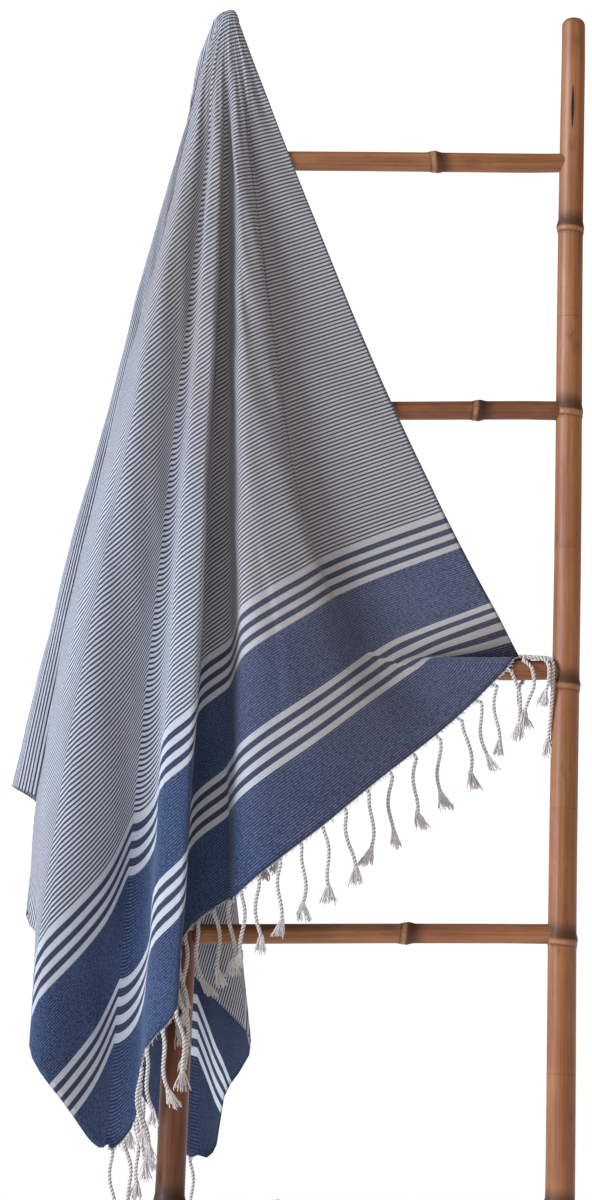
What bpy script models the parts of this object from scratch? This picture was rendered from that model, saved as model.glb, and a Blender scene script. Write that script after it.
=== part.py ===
"""Hammam towel hanging over the top of a bamboo ladder's left post.

Metres, +Z up. The origin is the centre of the left post's foot on the floor, the rungs run along +X
and the ladder leans back towards +Y. The towel is one sheet: it hangs from a point near the middle of
one selvedge, so every fold runs down from the post's tip, called the crown here.
"""
import bpy
import bmesh
import numpy as np
from math import atan, cos, pi, radians, sin, sqrt, tan
from mathutils import Vector

# Ladder
LEAN = radians(10.0)            # the top leans back
POST_TOP_Z = {"left": 1.483, "right": 1.477}
POST_FOOT_X = {"left": 0.0, "right": 0.414}
POST_TOP_X = {"left": 0.0625, "right": 0.4615}
POST_R_TOP, POST_R_FOOT = 0.01325, 0.0165
POST_ROUNDING = 0.008           # rounded edge of a post's top
POST_NODES_Z = {"left": (0.170, 0.455, 0.735, 1.010, 1.250), "right": (0.165, 0.441, 0.714, 1.018, 1.229)}
NODE_SWELL, NODE_HALF = 0.0014, 0.010
RUNG_R = 0.0107
RUNGS = [  # name, height of its axis, height of its left end above its right, its nodes along X
    ("rung_1", 1.306, 0.002, (0.300,)),
    ("rung_2", 1.019, 0.000, (0.345,)),
    ("rung_3", 0.730, 0.000, (0.180,)),
    ("rung_4", 0.447, 0.000, (0.260,)),
    ("rung_5", 0.160, 0.001, (0.120,)),
]
SEAT_GAP = 0.0003               # between a rung's coped end and its post
SIDES = 20

# Towel, as woven: the crown is on selvedge A, which it parts into a front and a back length
TOWEL_W = 0.96
FRONT_L, BACK_L = 0.875, 0.895
CLOTH_T = 0.0015
GIVE = 1.012                    # the cloth hangs on the bias, so it is a little longer than cut
CLEAR = 0.002                   # from the cloth's face to the bamboo
CROWN = Vector((0.0725, 0.2605, 1.488))
CROWN_DROP = 0.0135             # from the crown down to where the folds begin
SHOULDER_R = 0.0175             # of the cloth round the post's tip
SHOULDER_START, SHOULDER_SWEEP = -45.0, 1.2
DOME_POWER = 0.8
RUNG_DIP = 0.035                # the corner sags behind the third rung before it turns over it
BEND_SPARE = 0.0022             # more room round a stem, so that the flat faces between points clear it too
COLUMN_STEP, CORNER_STEP, CORNER_END = 3.0, 1.0, 13.0
RIDGE_START, RIDGE_HALF = 0.875, 1.6    # the fold that lies along the third rung: its share, half its places

# One row for each fold line, from selvedge A at the front round to selvedge A at the back. Angles in
# degrees: "flat" is the line's direction on the flat towel, from the front selvedge; "side" is how far
# it swings to the right of straight down, and "lean" how far it stands back (+) or forward (-).
# Each has a value at the crown and one at the edge; "onset" is how late it changes from the one to the
# other, and "reach" is the length down to the edge as a share of the flat length.
FOLD_COLUMNS = ("flat", "flat_edge", "side", "side_edge", "lean", "lean_edge", "onset", "reach")
FOLDS = {
    "selvedge A, front":  (0.0,   0.0,  20.0,  23.7, -10.6,  -8.6, 2, 0.940),
    "flat panel":         (8.0,   1.0,  13.0,  23.6, -10.6,  -8.5, 6, 0.935),
    "ridge on the rung":  (16.0,  2.0,   7.0,  23.2, -10.6,  -8.9, 7, 0.930),
    "turned-over flap":   (17.5,  8.6,   6.0,  18.1, -11.0,  -9.5, 6, 0.960),
    "flap, middle":       (19.5, 16.3,   4.6,  10.5, -13.0, -11.3, 4, 0.994),
    "fold 1, face":       (21.2, 22.0,   3.2,   5.3, -15.5, -12.4, 2, 1.017),
    "fold 1, edge":       (22.8, 27.8,   2.0,   0.5, -17.0, -12.8, 2, 1.028),
    "fold 1, foot":       (31.0, 29.2,   0.4,   0.3, -10.3, -11.6, 2, 1.015),
    "inner panel, end":   (33.6, 34.0,  -1.8,  -2.5, -10.3, -10.8, 2, 1.005),
    "fold 2, right":      (38.3, 38.6,  -1.6,  -2.2, -16.0, -15.0, 2, 1.015),
    "fold 2, left":       (41.0, 41.2,  -4.7,  -3.9, -16.0, -15.0, 2, 1.015),
    "fold 2, foot":       (45.7, 45.3,  -4.9,  -3.9,  -9.8, -10.0, 2, 1.005),
    "front corner":       (47.5, 47.65, -6.5,  -5.6,  -9.8, -10.0, 2, 1.000),
    "fold 3, ridge":      (51.0, 50.1,  -8.0,  -6.8, -12.2, -12.0, 2, 1.000),
    "fold 3, left":       (52.8, 51.7,  -9.8,  -8.3, -11.6, -11.6, 2, 1.000),
    "left turn":          (55.2, 53.9, -12.5, -10.6, -10.3, -10.5, 1, 1.000),
    "edge ruffle, in":    (57.0, 57.0, -13.4,  -9.2,  -8.0,  -7.5, 7, 1.000),
    "edge ruffle, out":   (61.0, 61.0, -14.2,  -9.2,  -6.0,  -4.9, 7, 1.000),
    "side face, edge":    (65.0, 65.0, -15.2, -12.3,  -4.8,  -3.6, 2, 1.000),
    "inner layer":        (69.0, 69.0, -14.0,  -8.0,  -4.7,  -5.8, 1, 1.000),
    "inner turn, near":   (73.5, 73.5, -11.0,  -4.2,  -5.2,  -6.8, 1, 1.000),
    "inner turn, far":    (77.0, 77.0, -12.5,  -4.6,  -4.0,  -5.1, 1, 1.000),
    "outer layer":        (82.0, 82.0, -16.9,  -9.5,  -2.9,  -4.8, 2, 1.000),
    "outer face":         (87.0, 87.0, -16.6, -12.9,  -2.1,  -3.6, 2, 0.980),
    "left edge":          (91.0, 91.0, -16.3, -14.4,  -1.6,  -2.8, 1, 0.962),
    "back pleat 1, in":   (95.0, 95.0, -15.8, -12.4,  -1.2,  -1.5, 2, 0.975),
    "back pleat 1, out":  (99.0, 99.0, -14.6, -10.9,  -3.0,  -3.9, 1, 1.000),
    "back pleat 2, in":  (103.0, 103.0, -13.0, -8.9,  -1.2,  -1.7, 1, 1.000),
    "back pleat 2, out": (107.0, 107.0, -11.2, -7.2,  -3.4,  -4.4, 1, 1.000),
    "back pleat 3, in":  (111.0, 111.0, -9.4,  -5.2,  -1.3,  -2.2, 1, 1.000),
    "back pleat 3, out": (115.0, 115.0, -7.6,  -3.4,  -3.6,  -5.2, 1, 1.000),
    "back pleat 4, in":  (119.0, 119.0, -5.8,  -1.6,  -1.4,  -3.0, 1, 1.000),
    "back pleat 4, out": (122.5, 122.5, -4.0,   0.6,  -3.4,  -6.0, 1, 1.000),
    "right turn":        (125.7, 125.7, -2.5,   2.35, -1.6,  -4.4, 1, 0.998),
    "under layer":       (128.3, 128.3, -2.0,   1.6,  -1.2,  -2.8, 1, 0.995),
    "under layer, neck": (130.0, 130.0, -2.2,   0.35, -1.1,  -2.5, 1, 0.995),
    "under layer, lobe": (131.6, 131.6, -2.5,   0.45, -1.0,  -2.2, 1, 1.000),
    "back corner":       (133.0, 133.0, -3.0,  -0.75, -1.0,  -2.0, 1, 1.006),
    "back face, right":  (138.0, 138.0, -5.5,  -5.0,  -0.9,  -1.3, 1, 1.010),
    "back face":         (143.0, 143.0, -8.5,  -9.8,  -0.9,  -1.1, 1, 1.000),
    "back turn, near":   (147.0, 147.0, -10.2, -11.4, -0.9,  -1.2, 1, 1.000),
    "back turn":         (149.0, 149.0, -10.4, -11.9, -0.7,  -0.85, 1, 1.000),
    "back turn, far":    (151.0, 151.0, -9.7, -11.4,  -0.5,  -0.45, 1, 1.000),
    "last face, left":   (156.0, 156.0, -5.5,  -6.5,  -0.5,  -0.5, 1, 1.000),
    "last face":         (161.0, 161.0, -1.2,  -1.5,  -0.5,  -0.6, 1, 1.000),
    "last turn, near":   (166.0, 166.0,  3.2,   3.8,  -0.5,  -0.8, 1, 1.000),
    "last turn, far":    (169.0, 169.0,  3.2,   3.8,  -0.1,   0.0, 1, 1.000),
    "hanging end":       (174.0, 174.0,  0.0,  -0.5,   0.0,   0.1, 1, 1.000),
    "selvedge A, back":  (180.0, 180.0, -4.5,  -6.0,   0.0,   0.1, 1, 1.000),
}

# Fringe: one comb of twisted tassels along each cut end
TASSELS, TASSEL_PITCH, TASSEL_INSET = 31, 0.031, 0.012
TASSEL_L, TASSEL_W, TASSEL_T = 0.082, 0.0045, 0.0015
TASSEL_ROOM = 0.0028            # from a tassel's middle to the middle of the cloth
HEADING_GAP, HEADING_L = 0.0017, 0.004
TASSEL_FORWARD = 0.026          # the first tassels cross the third rung before they drop
TASSEL_DROPS = (0.35, 0.70, 1.0)
OWN_PLACES = 1.5                # cloth this near to a tassel's own place is its own hem
TASSEL_WAYS = [(0, 0), (-8, 0), (8, 0), (0, 8), (0, -8), (-8, 8), (8, 8), (-8, -8), (8, -8), (-16, 0), (16, 0),
               (0, -18), (0, 18), (-16, 12), (-16, -12), (16, 12), (16, -12), (-26, 0)]  # lean, swing (degrees)

COLLECTION = "hammam_towel_on_bamboo_ladder"


def post_point(side, z):
    """Centre of a post at a height."""
    share = z / POST_TOP_Z[side]
    x = POST_FOOT_X[side] + (POST_TOP_X[side] - POST_FOOT_X[side]) * share
    return Vector((x, z * tan(LEAN), z))


def post_radius(side, z):
    share = min(max(z / POST_TOP_Z[side], 0.0), 1.0)
    return POST_R_FOOT + (POST_R_TOP - POST_R_FOOT) * share


def swelling(distance):
    """Height of a bamboo node's ring at a distance from its middle."""
    share = min(abs(distance) / NODE_HALF, 1.0)
    return NODE_SWELL * (cos(pi * share) + 1) / 2


def rung_ends(height, rise):
    """Where a rung's axis meets the axes of the two posts."""
    return post_point("left", height + rise), post_point("right", height)


def new_collection(name):
    collection = bpy.data.collections.new(name)
    bpy.context.scene.collection.children.link(collection)
    return collection


def material(name, colour, roughness):
    made = bpy.data.materials.new(name)
    made.use_nodes = True
    shader = made.node_tree.nodes["Principled BSDF"]
    shader.inputs["Base Color"].default_value = (*colour, 1.0)
    shader.inputs["Roughness"].default_value = roughness
    shader.inputs["Metallic"].default_value = 0.0
    return made


def add_object(name, mesh, collection, finish=None):
    made = bpy.data.objects.new(name, mesh)
    collection.objects.link(made)
    if finish:
        mesh.materials.append(finish)
    return made


def turned(name, profile, collection, finish=None):
    """A turned shape: profile is a list of (radius, height), and runs from the top down."""
    shape = bmesh.new()
    points = [shape.verts.new((radius, 0.0, height)) for radius, height in profile]
    for upper, lower in zip(points[:-1], points[1:]):
        shape.edges.new((upper, lower))
    mesh = bpy.data.meshes.new(name)
    shape.to_mesh(mesh)
    shape.free()
    made = add_object(name, mesh, collection, finish)
    screw = made.modifiers.new("turn", "SCREW")
    screw.axis = "Z"
    screw.steps = screw.render_steps = SIDES
    screw.use_merge_vertices = True
    screw.merge_threshold = 0.00001
    screw.use_smooth_shade = True
    return made


def stem_profile(length, radius_at, nodes, extra, rounding):
    """Outline of a bamboo stem from its top end, at +length, down to 0; nodes are heights of its rings."""
    heights = {length - rounding, 0.0}
    for node in nodes:
        heights.update(node + NODE_HALF * share for share in (-1.0, -0.5, 0.0, 0.5, 1.0))
    body = [(radius_at(z) + extra + sum(swelling(z - node) for node in nodes), z)
            for z in sorted(heights, reverse=True)]
    top = []
    if rounding:
        flat_r = radius_at(length) + extra - rounding
        top = [(flat_r + rounding * sin(radians(a)), length - rounding + rounding * cos(radians(a)))
               for a in (0, 30, 60)]
    return [(0.0, length)] + top + body + [(0.0, 0.0)]


def stand_along(made, start, end):
    """Places a turned shape with its foot at start and its axis towards end."""
    made.location = start
    made.rotation_euler = (end - start).to_track_quat("Z", "Y").to_euler()


def make_post(side, cutters, collection, finish):
    """A post, turned along its axis and cut flat where it stands on the floor."""
    below = 0.03
    foot, top = post_point(side, -below), post_point(side, POST_TOP_Z[side])
    length = (top - foot).length
    per_height = length / (POST_TOP_Z[side] + below)
    nodes = [(z + below) * per_height for z in POST_NODES_Z[side]]
    radius_at = lambda along: post_radius(side, along / per_height - below)
    post = turned(f"{side}_post", stem_profile(length, radius_at, nodes, 0.0, POST_ROUNDING), collection, finish)
    stand_along(post, foot, top)
    cut = post.modifiers.new("floor", "BOOLEAN")
    cut.object = cutters["floor"]
    cope = turned(f"{side}_post_room", stem_profile(length, radius_at, nodes, SEAT_GAP, 0.0), cutters["collection"])
    stand_along(cope, foot, top)
    hide_cutter(cope)
    cutters[side] = cope
    return post


def make_rung(name, height, rise, node_x, cutters, collection, finish):
    """A rung whose ends are coped to the round of the posts."""
    start, end = rung_ends(height, rise)
    length = (end - start).length
    nodes = [x - start.x for x in node_x]
    rung = turned(name, stem_profile(length, lambda along: RUNG_R, nodes, 0.0, 0.0), collection, finish)
    stand_along(rung, start, end)
    for side in ("left", "right"):
        cut = rung.modifiers.new(f"{side} cope", "BOOLEAN")
        cut.object = cutters[side]
    return rung


def hide_cutter(made):
    made.hide_render = True
    made.display_type = "WIRE"


def floor_cutter(collection):
    size = 0.2
    shape = bmesh.new()
    bmesh.ops.create_cube(shape, size=size)
    for vertex in shape.verts:
        vertex.co.x *= 5
        vertex.co.z -= size / 2
    mesh = bpy.data.meshes.new("floor_cutter")
    shape.to_mesh(mesh)
    shape.free()
    made = add_object("floor_cutter", mesh, collection)
    made.location = (0.2, 0.0, 0.0)
    hide_cutter(made)
    return made


def make_ladder(collection, cutter_collection):
    bamboo = {
        "post": material("bamboo_post", (0.34, 0.17, 0.075), 0.42),
        "rung": material("bamboo_rung", (0.27, 0.13, 0.055), 0.45),
    }
    cutters = {"collection": cutter_collection, "floor": floor_cutter(cutter_collection)}
    for side in ("left", "right"):
        make_post(side, cutters, collection, bamboo["post"])
    for name, height, rise, node_x in RUNGS:
        make_rung(name, height, rise, node_x, cutters, collection, bamboo["rung"])


def smooth_through(places, values, at):
    """A smooth curve through the table's values that never swings past them."""
    gaps = np.diff(places)
    slopes = np.diff(values) / gaps
    tangents = np.zeros(len(places))
    tangents[0], tangents[-1] = slopes[0], slopes[-1]
    for k in range(1, len(places) - 1):
        before, after = slopes[k - 1], slopes[k]
        if before * after > 0:
            near, far = 2 * gaps[k] + gaps[k - 1], gaps[k] + 2 * gaps[k - 1]
            tangents[k] = (near + far) / (near / before + far / after)
    k = np.clip(np.searchsorted(places, at, side="right") - 1, 0, len(gaps) - 1)
    h, t = gaps[k], (at - places[k]) / gaps[k]
    return (values[k] * (2 * t**3 - 3 * t**2 + 1) + values[k + 1] * (3 * t**2 - 2 * t**3)
            + h * (tangents[k] * (t**3 - 2 * t**2 + t) + tangents[k + 1] * (t**3 - t**2)))


def fold_places():
    """Where each fold line lies across the sheet: the mean of its two flat angles."""
    table = np.array(list(FOLDS.values()))
    return (table[:, 0] + table[:, 1]) / 2


def folds_at(places):
    """The fold table's columns, worked out smoothly at any places across the sheet."""
    table = np.array(list(FOLDS.values()))
    return {name: smooth_through(fold_places(), table[:, k], places) for k, name in enumerate(FOLD_COLUMNS)}


def sheet_columns():
    """Places across the sheet: every fold line, with even steps between, finer where it meets the rung."""
    places = fold_places()
    out = []
    for here, there in zip(places[:-1], places[1:]):
        step = CORNER_STEP if here < CORNER_END else COLUMN_STEP
        out.extend(np.linspace(here, there, max(1, round((there - here) / step)), endpoint=False))
    return np.array(out + [places[-1]])


def flat_reach(flat):
    """Flat distance from the crown to the towel's edge in a flat direction (radians)."""
    front = FRONT_L / np.maximum(np.cos(flat), 1e-6)
    back = BACK_L / np.maximum(-np.cos(flat), 1e-6)
    across = TOWEL_W / np.maximum(np.sin(flat), 1e-6)
    return np.minimum(np.minimum(front, back), across)


def pushed_clear(points, start, end, radius):
    """Moves the points that are nearer than radius to a stem's axis straight out from it."""
    start, end = np.array(start), np.array(end)
    axis = end - start
    along = ((points - start) @ axis) / (axis @ axis)
    away = points - (start + along[..., None] * axis)
    distance = np.maximum(np.linalg.norm(away, axis=-1), 1e-9)
    inside = (distance < radius) & (along > 0) & (along < 1)
    push = np.where(inside, radius - distance, 0.0)
    return points + away * (push / distance)[..., None]


def clear_of_ladder(points, spare):
    """Moves points of a soft piece out to spare from the faces of the rungs and posts."""
    for name, height, rise, node_x in RUNGS:
        points = pushed_clear(points, *rung_ends(height, rise), RUNG_R + NODE_SWELL + spare)
    for side in ("left", "right"):
        radius = (POST_R_TOP + POST_R_FOOT) / 2 + NODE_SWELL + spare
        points = pushed_clear(points, post_point(side, 0.0), post_point(side, POST_TOP_Z[side] - POST_ROUNDING), radius)
    return points


def draped(places, shares):
    """Points of the hanging sheet, [share][place], at shares of the way from the crown to the edge."""
    fold = {name: column[None, :] for name, column in folds_at(places).items()}
    share = shares[:, None]
    late = share ** fold["onset"]
    leaning = share ** np.maximum(fold["onset"], np.interp(places, (4.0, 10.0), (12.0, 0.0)))
    flat = np.radians(fold["flat"] + (fold["flat_edge"] - fold["flat"]) * late)
    side = np.radians(fold["side"] + (fold["side_edge"] - fold["side"]) * late)
    lean = np.radians(fold["lean"] + (fold["lean_edge"] - fold["lean"]) * leaning)
    reach_onset = np.interp(places, (9.0, 16.0), (12.0, 5.0))[None, :]
    length = GIVE * (1 + (fold["reach"] - 1) * share ** reach_onset)

    # Round the post's tip: from the crown down to the shoulder, where the folds begin
    around = np.radians(SHOULDER_START - SHOULDER_SWEEP * fold["flat"])
    tip = post_point("left", POST_TOP_Z["left"])
    out_x = tip.x + SHOULDER_R * np.cos(around) - CROWN.x
    out_y = tip.y + SHOULDER_R * np.sin(around) - CROWN.y
    dome_l = 1.12 * np.sqrt(out_x**2 + out_y**2 + CROWN_DROP**2)
    flat_l = share * flat_reach(flat)
    turn = np.clip(flat_l / dome_l, 0, 1) * pi / 2
    outward, downward = np.sin(turn) ** DOME_POWER, 1 - np.cos(turn) ** DOME_POWER
    dome = np.stack(np.broadcast_arrays(CROWN.x + out_x * outward, CROWN.y + out_y * outward,
                                        CROWN.z - CROWN_DROP * downward), axis=-1)

    # Below it each fold line runs straight, or nearly
    way = np.stack(np.broadcast_arrays(np.tan(side), np.tan(lean), -1.0), axis=-1)
    way /= np.linalg.norm(way, axis=-1, keepdims=True)
    points = dome + (np.maximum(flat_l - dome_l, 0) * length)[..., None] * way

    # The first corner sags behind the third rung
    sagging = np.sqrt(np.clip(1 - places / fold_places()[2], 0, 1))[None, :]
    sagging = RUNG_DIP * sagging * np.sin(pi * np.clip((share - 0.88) / 0.12, 0, 1)) ** 2
    return points + sagging[..., None] * np.array((0.0, 0.85, -0.5))


def over_rung(places, shares):
    """The draped points, with the ridge fold lifted on top of the third rung and all of them clear of the ladder."""
    spare = CLEAR + CLOTH_T / 2 + BEND_SPARE
    points = draped(places, shares)
    ridge = draped(fold_places()[2:3], shares)
    start, end = rung_ends(*RUNGS[2][1:3])
    clear_r = RUNG_R + NODE_SWELL + spare
    lift = np.array((0.0, start.y, start.z + clear_r)) - ridge
    lift[..., 0] = 0.0
    near = np.exp(-((places - fold_places()[2]) / RIDGE_HALF) ** 2)
    near = near * np.clip((shares - RIDGE_START) / 0.03, 0, 1)[:, None]
    points = points + lift * near[..., None]

    # Past the ridge the flap hangs in front of the rung
    flap = ((places > fold_places()[2] + 0.1) & (places < fold_places()[8]))[None, :]
    flap = flap & (shares > RIDGE_START - 0.03)[:, None]
    above = np.clip(points[..., 2] - start.z, 0, clear_r)
    front = start.y - np.sqrt(clear_r ** 2 - above ** 2)
    points[..., 1] = np.where(flap, np.minimum(points[..., 1], front), points[..., 1])
    return clear_of_ladder(points, spare)


def sheet_rows():
    """Shares of the way down: finer round the tip and where the corner turns over the rung."""
    tip = (0.0, 0.012, 0.024, 0.042, 0.07)
    middle = np.linspace(0.12, 0.80, 11)
    low = np.linspace(0.835, 1.0, 9)
    return np.concatenate((tip, middle, low))


def make_towel(collection, finish):
    """The sheet: one fan of faces from the crown to the edge, with the cloth's thickness added."""
    places, shares = sheet_columns(), sheet_rows()
    points = over_rung(places, shares)
    shape = bmesh.new()
    crown = shape.verts.new(points[0, 0])
    rows = [[shape.verts.new(point) for point in row] for row in points[1:]]
    for left, right in zip(rows[0][:-1], rows[0][1:]):
        shape.faces.new((crown, left, right))
    for upper, lower in zip(rows[:-1], rows[1:]):
        for k in range(len(places) - 1):
            shape.faces.new((upper[k], lower[k], lower[k + 1], upper[k + 1]))
    bmesh.ops.recalc_face_normals(shape, faces=shape.faces)
    return finish_sheet("towel", shape, CLOTH_T, collection, finish)


def finish_sheet(name, shape, thickness, collection, finish):
    mesh = bpy.data.meshes.new(name)
    shape.to_mesh(mesh)
    shape.free()
    mesh.shade_smooth()
    made = add_object(name, mesh, collection, finish)
    solid = made.modifiers.new("thickness", "SOLIDIFY")
    solid.thickness = thickness
    solid.offset = 0.0
    return made


def towel_edge(distances, length, below):
    """Points just below a cut end of the sheet's own faces, at distances from selvedge A along it."""
    columns = sheet_columns()
    flat = np.radians(folds_at(columns)["flat_edge"])
    near, far = over_rung(columns, np.array((0.981, 1.0)))
    way = far - near
    way /= np.linalg.norm(way, axis=-1, keepdims=True)
    across = flat_reach(flat) * np.sin(flat)
    on_end = np.abs(flat_reach(flat) * np.cos(flat) - length) < 0.002
    if length < 0:
        on_end, across, far, way = on_end[::-1], across[::-1], far[::-1], way[::-1]
    along = np.gradient(far, axis=0)
    along /= np.linalg.norm(along, axis=-1, keepdims=True)
    square = np.maximum(np.linalg.norm(np.cross(way, along), axis=-1, keepdims=True), 0.35)
    edge = clear_of_ladder(far + way * below / square, CLEAR + TASSEL_T / 2 + BEND_SPARE + 0.001)
    across, edge = across[on_end], edge[on_end]
    places = np.union1d(distances, across[(across > distances[0]) & (across < distances[-1])])
    return places, np.stack([np.interp(places, across, edge[:, k]) for k in range(3)], axis=-1)


def cloth_samples():
    """Many points of the sheet's faces, each with its place, to keep the tassels clear of them."""
    columns = sheet_columns()
    points = over_rung(columns, np.linspace(0.5, 1.0, 130))
    points = np.concatenate((points, np.broadcast_to(columns[None, :, None], points.shape[:2] + (1,))), axis=-1)
    shares = np.linspace(0, 1, 8, endpoint=False)[:, None, None, None]
    return (points[:, :-1] * (1 - shares) + points[:, 1:] * shares).reshape(-1, 4)


def tassel_path(start, half, cloth):
    """A tassel's points: straight down, or else in the first of a few ways that clear the cloth."""
    near = cloth[(np.abs(cloth[:, :3] - np.array(start)) < 0.11).all(axis=-1)]
    own = near[np.argmin(np.linalg.norm(near[:, :3] - np.array(start), axis=-1)), 3]
    beside = (np.abs(near[:, 3] - own) < OWN_PLACES) & (np.linalg.norm(near[:, :3] - np.array(start), axis=-1) < 0.02)
    near = near[~beside, :3]
    for over in (0.0, TASSEL_FORWARD):
        for tilt, swing in TASSEL_WAYS:
            way = Vector((tan(radians(swing)), tan(radians(tilt)), -1.0)).normalized()
            turn = start + Vector((0, -over, 0.004)) if over else start
            length = TASSEL_L - over
            path = [turn] * bool(over) + [turn + way * length * drop for drop in TASSEL_DROPS]
            path = clear_of_ladder(np.array(path), CLEAR + TASSEL_T / 2 + BEND_SPARE)
            first = np.array(start)[None]
            tests = np.concatenate([first * (1 - s) + path[:1] * s for s in (0.25, 0.5, 0.75)] + [path])
            tests = np.concatenate([tests + side * np.array(half) for side in (-1, 0, 1)])
            gaps = np.linalg.norm(tests[:, None] - near[None], axis=-1).min(axis=1)
            if (gaps > TASSEL_ROOM).all() and clear_between(start, path):
                return path
    print("tassel not clear", start)
    return path


def clear_between(start, path):
    """Whether a tassel's straight lengths clear the rungs and the posts."""
    corners = np.concatenate((np.array(start)[None], path))
    shares = np.linspace(0, 1, 9)[:, None, None]
    samples = (corners[:-1] * (1 - shares) + corners[1:] * shares).reshape(-1, 3)
    moved = clear_of_ladder(samples, CLEAR / 2 + TASSEL_T / 2)
    return np.abs(moved - samples).max() < 1e-6


def make_fringe(name, length, collection, finish):
    """A comb along a cut end: a narrow heading just below the hem, with a tooth for each tassel."""
    middles = TASSEL_INSET + TASSEL_PITCH * np.arange(TASSELS)
    sides = np.sort(np.concatenate((middles - TASSEL_W / 2, middles + TASSEL_W / 2)))
    places, top = towel_edge(sides, length, HEADING_GAP)
    low = towel_edge(sides, length, HEADING_GAP + HEADING_L)[1]
    cloth = cloth_samples()
    shape = bmesh.new()
    uppers = [shape.verts.new(point) for point in top]
    lowers = [shape.verts.new(point) for point in low]
    for k in range(len(places) - 1):
        shape.faces.new((uppers[k], lowers[k], lowers[k + 1], uppers[k + 1]))
    for middle in middles:
        k = int(np.argmin(np.abs(places - (middle - TASSEL_W / 2))))
        pair = (lowers[k], lowers[k + 1])
        centre = (pair[0].co + pair[1].co) / 2
        half = (pair[1].co - pair[0].co).normalized() * TASSEL_W / 2
        for point in tassel_path(centre, half, cloth):
            lower_pair = [shape.verts.new(Vector(point) + side * half) for side in (-1, 1)]
            shape.faces.new((pair[0], lower_pair[0], lower_pair[1], pair[1]))
            pair = lower_pair
    bmesh.ops.recalc_face_normals(shape, faces=shape.faces)
    return finish_sheet(name, shape, TASSEL_T, collection, finish)


def main():
    for old in list(bpy.data.objects):
        bpy.data.objects.remove(old)
    parts = new_collection(COLLECTION)
    cutters = new_collection("cutters")
    make_ladder(parts, cutters)
    make_towel(parts, material("towel_cotton", (0.38, 0.45, 0.58), 0.9))
    tassel_cotton = material("tassel_cotton", (0.82, 0.80, 0.78), 0.9)
    make_fringe("front_fringe", FRONT_L, parts, tassel_cotton)
    make_fringe("back_fringe", -BACK_L, parts, tassel_cotton)


main()
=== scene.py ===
from functools import partialmethod
from math import cos, pi, radians, sin, tan

import bpy
import numpy as np
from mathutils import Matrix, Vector


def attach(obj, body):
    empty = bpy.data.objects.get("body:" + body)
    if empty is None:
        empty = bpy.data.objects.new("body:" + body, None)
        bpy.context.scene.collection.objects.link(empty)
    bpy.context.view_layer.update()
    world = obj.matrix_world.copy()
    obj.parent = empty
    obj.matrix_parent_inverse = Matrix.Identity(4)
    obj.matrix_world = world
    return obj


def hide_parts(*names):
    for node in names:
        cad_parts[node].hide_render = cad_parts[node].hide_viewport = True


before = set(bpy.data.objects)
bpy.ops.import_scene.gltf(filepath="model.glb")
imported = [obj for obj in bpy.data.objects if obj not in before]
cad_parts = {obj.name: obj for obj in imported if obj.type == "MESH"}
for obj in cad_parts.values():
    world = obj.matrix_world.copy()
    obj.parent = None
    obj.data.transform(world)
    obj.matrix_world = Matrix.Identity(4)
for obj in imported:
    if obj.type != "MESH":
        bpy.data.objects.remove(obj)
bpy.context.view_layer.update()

# ---- Bamboo posts ----------------------------------------------
# Two whole canes with their skin left on, varnished brown. The feet are sawn level for the floor, the
# tops are rounded off, and each cane's joints stand out as rings with a pale line round them.
LEAN = radians(10.0)
POST_TOP_Z = {"left": 1.483, "right": 1.477}
POST_FOOT_X = {"left": 0.0, "right": 0.414}
POST_TOP_X = {"left": 0.0625, "right": 0.4615}
POST_R_TOP, POST_R_FOOT = 0.01325, 0.0165
POST_ROUNDING = 0.008
POST_RINGS_Z = {"left": (0.17, 0.455, 0.735, 1.01, 1.25), "right": (0.165, 0.441, 0.714, 1.018, 1.229)}
RUNG_R = 0.0107
STEM_SIDES, STEM_STEP = 40, 0.006
RING_SWELL, RING_HALF, RING_TILT = 0.0018, 0.01, 0.0016
GROOVE_DEPTH, GROOVE_BELOW, GROOVE_HALF = 0.0005, 0.0016, 0.0009  # the groove under each ring
CANE_WAVER, TRUE_END_L = 0.0006, 0.05  # how far a cane strays from straight and round, but not at its ends
GRAIN_APART = 1.7  # each cane shows its own stretch of the grain
BELOW_FLOOR = 0.004  # the posts are made this much too long, then sawn level
SPLIT_ACROSS, SPLIT_Z, SPLIT_HALF_L, SPLIT_HALF_W = -0.0009, 1.368, 0.027, 0.0019


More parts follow.
